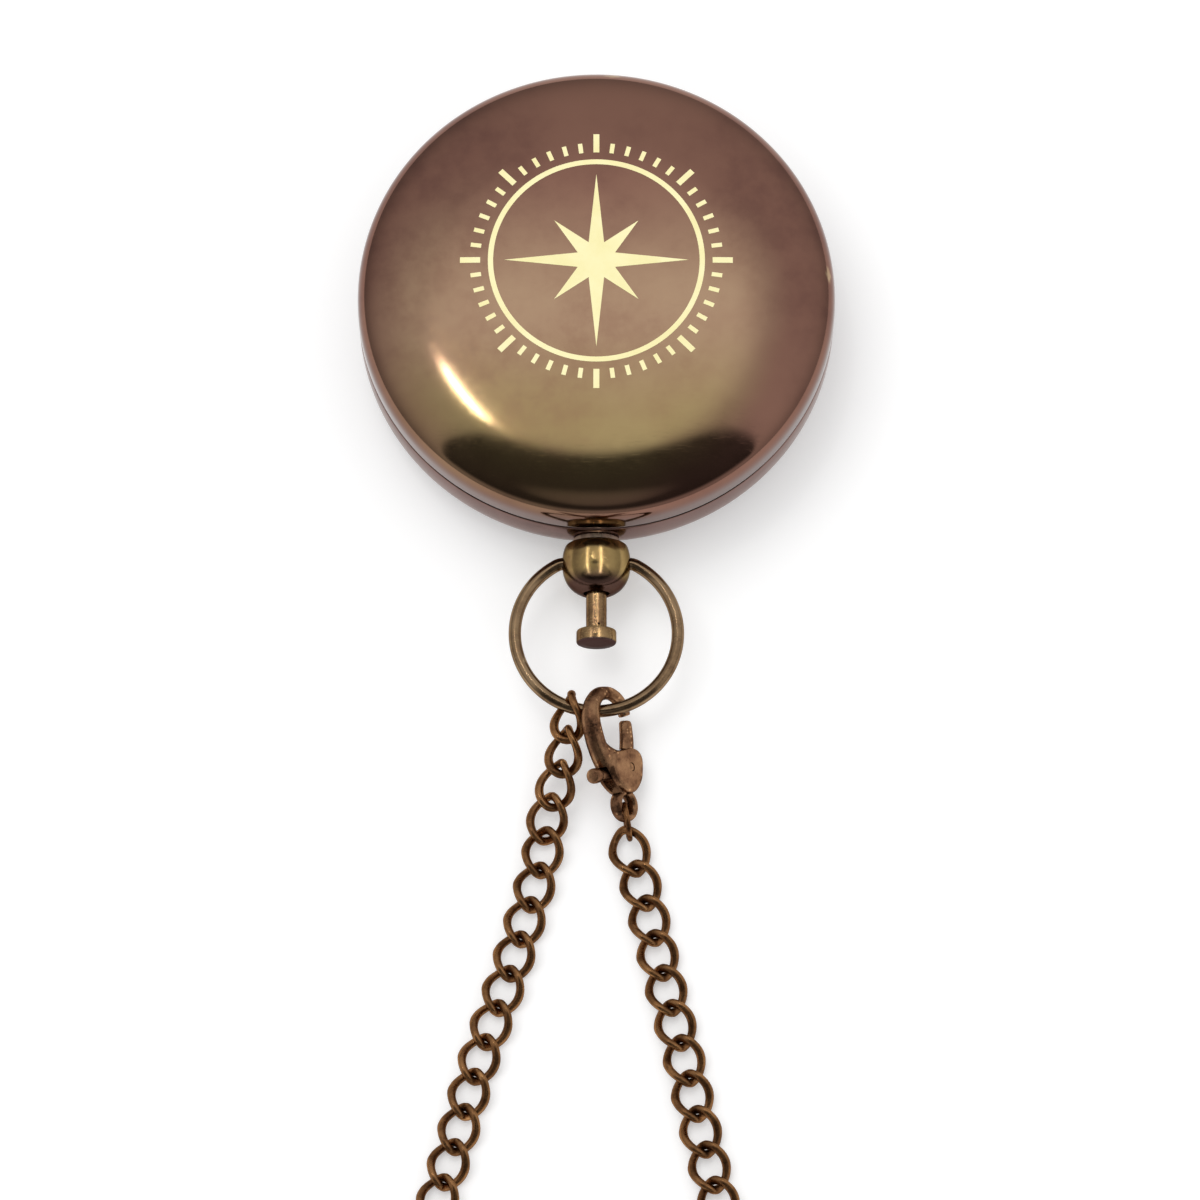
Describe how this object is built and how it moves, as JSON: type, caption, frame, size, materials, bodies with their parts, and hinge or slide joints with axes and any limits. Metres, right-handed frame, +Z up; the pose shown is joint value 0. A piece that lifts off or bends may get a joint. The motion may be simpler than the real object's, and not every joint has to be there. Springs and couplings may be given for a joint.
{
  "type": "pocket sundial compass",
  "caption": "Round hinged brass pocket sundial compass with push-button pendant, bow ring, lobster claw and curb chain.",
  "frame": {"origin": "centre of the case's flat underside, on which the case lies", "axes": "+Z up out of the closed lid, -Y along the pendant, the button and the chain, +X to the right seen from above"},
  "size_m": [0.05, 0.1564, 0.0144],
  "materials": {
    "antique_brass": "antiqued plating, brown in the hollows and worn to olive gold on the high places, lacquered",
    "polished_brass": "plain polished brass",
    "antique_copper": "copper brown antiqued plating with bright rubbed edges",
    "spring_steel": "plain spring steel",
    "blued_steel": "thin blued steel sheet",
    "dial_paper": "matt printed card",
    "glass": "clear flat glass"
  },
  "bodies": {
    "case": {"base_case": "antique_brass", "base_leaf": "polished_brass", "hinge_pin": "spring_steel", "catch_spring": "spring_steel", "lift_spring": "spring_steel", "compass_card": "dial_paper", "capsule_ring": "polished_brass", "crystal": "glass", "pivot_post": "polished_brass", "hour_ring": "polished_brass", "pendant_neck": "antique_brass", "pendant_ball": "antique_brass"},
    "lid": {"lid_shell": "antique_brass", "lid_band": "polished_brass", "lid_leaf": "polished_brass"},
    "gnomon_plate": {"gnomon": "polished_brass"},
    "button": {"push_stem": "antique_brass", "button_cap": "antique_brass"},
    "bow": {"bow_ring": "antique_brass"},
    "claw": {"claw_body": "antique_copper", "claw_rivet": "antique_copper", "claw_spring": "spring_steel"},
    "trigger": {"claw_trigger": "antique_copper"},
    "compass_needle": {"needle": "blued_steel", "needle_cap": "polished_brass"},
    "tail_ring": {"claw_jump_ring": "antique_copper"},
    "left_link_01": {"left_link_01": "antique_copper"},
    "left_link_02": {"left_link_02": "antique_copper"},
    "left_link_03": {"left_link_03": "antique_copper"},
    "left_link_04": {"left_link_04": "antique_copper"},
    "left_link_05": {"left_link_05": "antique_copper"},
    "left_link_06": {"left_link_06": "antique_copper"},
    "left_link_07": {"left_link_07": "antique_copper"},
    "left_link_08": {"left_link_08": "antique_copper"},
    "left_link_09": {"left_link_09": "antique_copper"},
    "left_link_10": {"left_link_10": "antique_copper"},
    "left_link_11": {"left_link_11": "antique_copper"},
    "left_link_12": {"left_link_12": "antique_copper"},
    "left_link_13": {"left_link_13": "antique_copper"},
    "left_link_14": {"left_link_14": "antique_copper"},
    "left_link_15": {"left_link_15": "antique_copper"},
    "right_link_01": {"right_link_01": "antique_copper"},
    "right_link_02": {"right_link_02": "antique_copper"},
    "right_link_03": {"right_link_03": "antique_copper"},
    "right_link_04": {"right_link_04": "antique_copper"},
    "right_link_05": {"right_link_05": "antique_copper"},
    "right_link_06": {"right_link_06": "antique_copper"},
    "right_link_07": {"right_link_07": "antique_copper"},
    "right_link_08": {"right_link_08": "antique_copper"},
    "right_link_09": {"right_link_09": "antique_copper"},
    "right_link_10": {"right_link_10": "antique_copper"},
    "right_link_11": {"right_link_11": "antique_copper"},
    "loop_run_1": {"loop_run_1": "antique_copper"},
    "loop_run_2": {"loop_run_2": "antique_copper"},
    "loop_run_3": {"loop_run_3": "antique_copper"},
    "loop_run_5": {"loop_run_5": "antique_copper"},
    "loop_run_4": {"loop_run_4": "antique_copper"}
  },
  "joints": [
    {"name": "lid_open", "type": "hinge", "parent": "case", "child": "lid", "pos_m": [0, 0.0243, 0.0084], "axis": [-1, 0, 0], "range_deg": [0, 105], "deforming": ["lift_spring"]},
    {"name": "gnomon_raise", "type": "hinge", "parent": "case", "child": "gnomon_plate", "pos_m": [0, 0, 0.00835], "axis": [0, -1, 0], "range_deg": [0, 90]},
    {"name": "button_press", "type": "slide", "parent": "case", "child": "button", "axis": [0, 1, 0], "range_m": [0, 0.0015], "stiffness_N_per_m": 200, "deforming": ["catch_spring"]},
    {"name": "bow_swing", "type": "hinge", "parent": "case", "child": "bow", "pos_m": [0, -0.02766, 0.005], "axis": [1, 0, 0], "range_deg": [-95, 95]},
    {"name": "trigger_pull", "type": "hinge", "parent": "claw", "child": "trigger", "pos_m": [0.00267, -0.0492, 0.00276], "axis": [0.7816, -0.0133, 0.6237], "range_deg": [0, 20], "deforming": ["claw_spring"]},
    {"name": "needle_turn", "type": "hinge", "parent": "case", "child": "compass_needle", "pos_m": [0, 0, 0.005], "axis": [0, 0, 1], "continuous": true},
    {"name": "claw_swing", "type": "hinge", "parent": "bow", "child": "claw", "pos_m": [0.0009, -0.04361, 0.005], "axis": [0.9943, 0.1065, 0], "range_deg": [-15, 15]},
    {"name": "tail_ring_swing", "type": "hinge", "parent": "claw", "child": "tail_ring", "pos_m": [0.00311, -0.0544, 0.0021], "axis": [1, 0, 0], "range_deg": [-15, 15]},
    {"name": "left_link_01_swing", "type": "hinge", "parent": "bow", "child": "left_link_01", "pos_m": [-0.00285, -0.04317, 0.005], "axis": [0.9414, -0.3373, 0], "range_deg": [-15, 15]},
    {"name": "left_link_02_swing", "type": "hinge", "parent": "left_link_01", "child": "left_link_02", "pos_m": [-0.00307, -0.04593, 0.00428], "axis": [0.9922, -0.1249, 0], "range_deg": [-20, 20]},
    {"name": "left_link_03_swing", "type": "hinge", "parent": "left_link_02", "child": "left_link_03", "pos_m": [-0.0037, -0.04929, 0.00325], "axis": [-0.9688, 0.2477, 0], "range_deg": [-20, 20]},
    {"name": "left_link_04_swing", "type": "hinge", "parent": "left_link_03", "child": "left_link_04", "pos_m": [-0.00458, -0.05257, 0.00213], "axis": [0.9634, -0.2679, 0], "range_deg": [-20, 20]},
    {"name": "left_link_05_swing", "type": "hinge", "parent": "left_link_04", "child": "left_link_05", "pos_m": [-0.00529, -0.05596, 0.00134], "axis": [-0.9896, 0.144, 0], "range_deg": [-20, 20]},
    {"name": "left_link_06_swing", "type": "hinge", "parent": "left_link_05", "child": "left_link_06", "pos_m": [-0.00597, -0.05955, 0.00108], "axis": [0.9743, -0.2251, 0], "range_deg": [-20, 20]},
    {"name": "left_link_07_swing", "type": "hinge", "parent": "left_link_06", "child": "left_link_07", "pos_m": [-0.00689, -0.06323, 0.00107], "axis": [-0.9657, 0.2597, 0], "range_deg": [-20, 20]},
    {"name": "left_link_08_swing", "type": "hinge", "parent": "left_link_07", "child": "left_link_08", "pos_m": [-0.0079, -0.06687, 0.0011], "axis": [0.9612, -0.2759, 0], "range_deg": [-20, 20]},
    {"name": "left_link_09_swing", "type": "hinge", "parent": "left_link_08", "child": "left_link_09", "pos_m": [-0.00898, -0.0705, 0.0011], "axis": [-0.9558, 0.2941, 0], "range_deg": [-20, 20]},
    {"name": "left_link_10_swing", "type": "hinge", "parent": "left_link_09", "child": "left_link_10", "pos_m": [-0.01014, -0.0741, 0.0011], "axis": [0.9483, -0.3175, 0], "range_deg": [-20, 20]},
    {"name": "left_link_11_swing", "type": "hinge", "parent": "left_link_10", "child": "left_link_11", "pos_m": [-0.01133, -0.07769, 0.0011], "axis": [-0.9489, 0.3156, 0], "range_deg": [-20, 20]},
    {"name": "left_link_12_swing", "type": "hinge", "parent": "left_link_11", "child": "left_link_12", "pos_m": [-0.01244, -0.08131, 0.0011], "axis": [0.9624, -0.2715, 0], "range_deg": [-20, 20]},
    {"name": "left_link_13_swing", "type": "hinge", "parent": "left_link_12", "child": "left_link_13", "pos_m": [-0.01345, -0.08496, 0.0011], "axis": [-0.966, 0.2584, 0], "range_deg": [-20, 20]},
    {"name": "left_link_14_swing", "type": "hinge", "parent": "left_link_13", "child": "left_link_14", "pos_m": [-0.01446, -0.08861, 0.0011], "axis": [0.9616, -0.2744, 0], "range_deg": [-20, 20]},
    {"name": "left_link_15_swing", "type": "hinge", "parent": "left_link_14", "child": "left_link_15", "pos_m": [-0.0155, -0.09224, 0.0011], "axis": [-0.9606, 0.2781, 0], "range_deg": [-20, 20]},
    {"name": "right_link_01_swing", "type": "hinge", "parent": "tail_ring", "child": "right_link_01", "pos_m": [0.00318, -0.05532, 0.00168], "axis": [1, 0, 0], "range_deg": [-15, 15]},
    {"name": "right_link_02_swing", "type": "hinge", "parent": "right_link_01", "child": "right_link_02", "pos_m": [0.00399, -0.0595, 0.00119], "axis": [0.9552, 0.2959, 0], "range_deg": [-20, 20]},
    {"name": "right_link_03_swing", "type": "hinge", "parent": "right_link_02", "child": "right_link_03", "pos_m": [0.00499, -0.06314, 0.0011], "axis": [-0.9728, -0.2317, 0], "range_deg": [-20, 20]},
    {"name": "right_link_04_swing", "type": "hinge", "parent": "right_link_03", "child": "right_link_04", "pos_m": [0.00586, -0.06683, 0.0011], "axis": [0.9742, 0.2257, 0], "range_deg": [-20, 20]},
    {"name": "right_link_05_swing", "type": "hinge", "parent": "right_link_04", "child": "right_link_05", "pos_m": [0.00671, -0.07051, 0.0011], "axis": [-0.9737, -0.2277, 0], "range_deg": [-20, 20]},
    {"name": "right_link_06_swing", "type": "hinge", "parent": "right_link_05", "child": "right_link_06", "pos_m": [0.0076, -0.07419, 0.0011], "axis": [0.9706, 0.2405, 0], "range_deg": [-20, 20]},
    {"name": "right_link_07_swing", "type": "hinge", "parent": "right_link_06", "child": "right_link_07", "pos_m": [0.00851, -0.07787, 0.0011], "axis": [-0.9712, -0.2384, 0], "range_deg": [-20, 20]},
    {"name": "right_link_08_swing", "type": "hinge", "parent": "right_link_07", "child": "right_link_08", "pos_m": [0.00937, -0.08155, 0.0011], "axis": [0.9765, 0.2154, 0], "range_deg": [-20, 20]},
    {"name": "right_link_09_swing", "type": "hinge", "parent": "right_link_08", "child": "right_link_09", "pos_m": [0.01018, -0.08525, 0.0011], "axis": [-0.977, -0.2132, 0], "range_deg": [-20, 20]},
    {"name": "right_link_10_swing", "type": "hinge", "parent": "right_link_09", "child": "right_link_10", "pos_m": [0.01102, -0.08894, 0.0011], "axis": [0.973, 0.2307, 0], "range_deg": [-20, 20]},
    {"name": "right_link_11_swing", "type": "hinge", "parent": "right_link_10", "child": "right_link_11", "pos_m": [0.01189, -0.0926, 0.0011], "axis": [-0.9719, -0.2355, 0], "range_deg": [-20, 20]},
    {"name": "loop_run_1_swing", "type": "hinge", "parent": "left_link_15", "child": "loop_run_1", "pos_m": [-0.01653, -0.09582, 0.0011], "axis": [-0.961, 0.2765, 0], "range_deg": [-12, 12]},
    {"name": "loop_run_2_swing", "type": "hinge", "parent": "loop_run_1", "child": "loop_run_2", "pos_m": [-0.02009, -0.11128, 0.0011], "axis": [0.9999, 0.0125, 0], "range_deg": [-12, 12]},
    {"name": "loop_run_3_swing", "type": "hinge", "parent": "loop_run_2", "child": "loop_run_3", "pos_m": [-0.01334, -0.12507, 0.0011], "axis": [-0.6229, -0.7823, 0], "range_deg": [-12, 12]},
    {"name": "loop_run_5_swing", "type": "hinge", "parent": "right_link_11", "child": "loop_run_5", "pos_m": [0.01276, -0.09619, 0.0011], "axis": [-0.9724, -0.2331, 0], "range_deg": [-12, 12]},
    {"name": "loop_run_4_swing", "type": "hinge", "parent": "loop_run_5", "child": "loop_run_4", "pos_m": [0.01508, -0.11581, 0.0011], "axis": [0.9641, -0.2654, 0], "range_deg": [-12, 12]}
  ],
  "couplings": [
    {"joint": "gnomon_raise", "follows": "lid_open", "ratio": 0.85714}
  ]
}
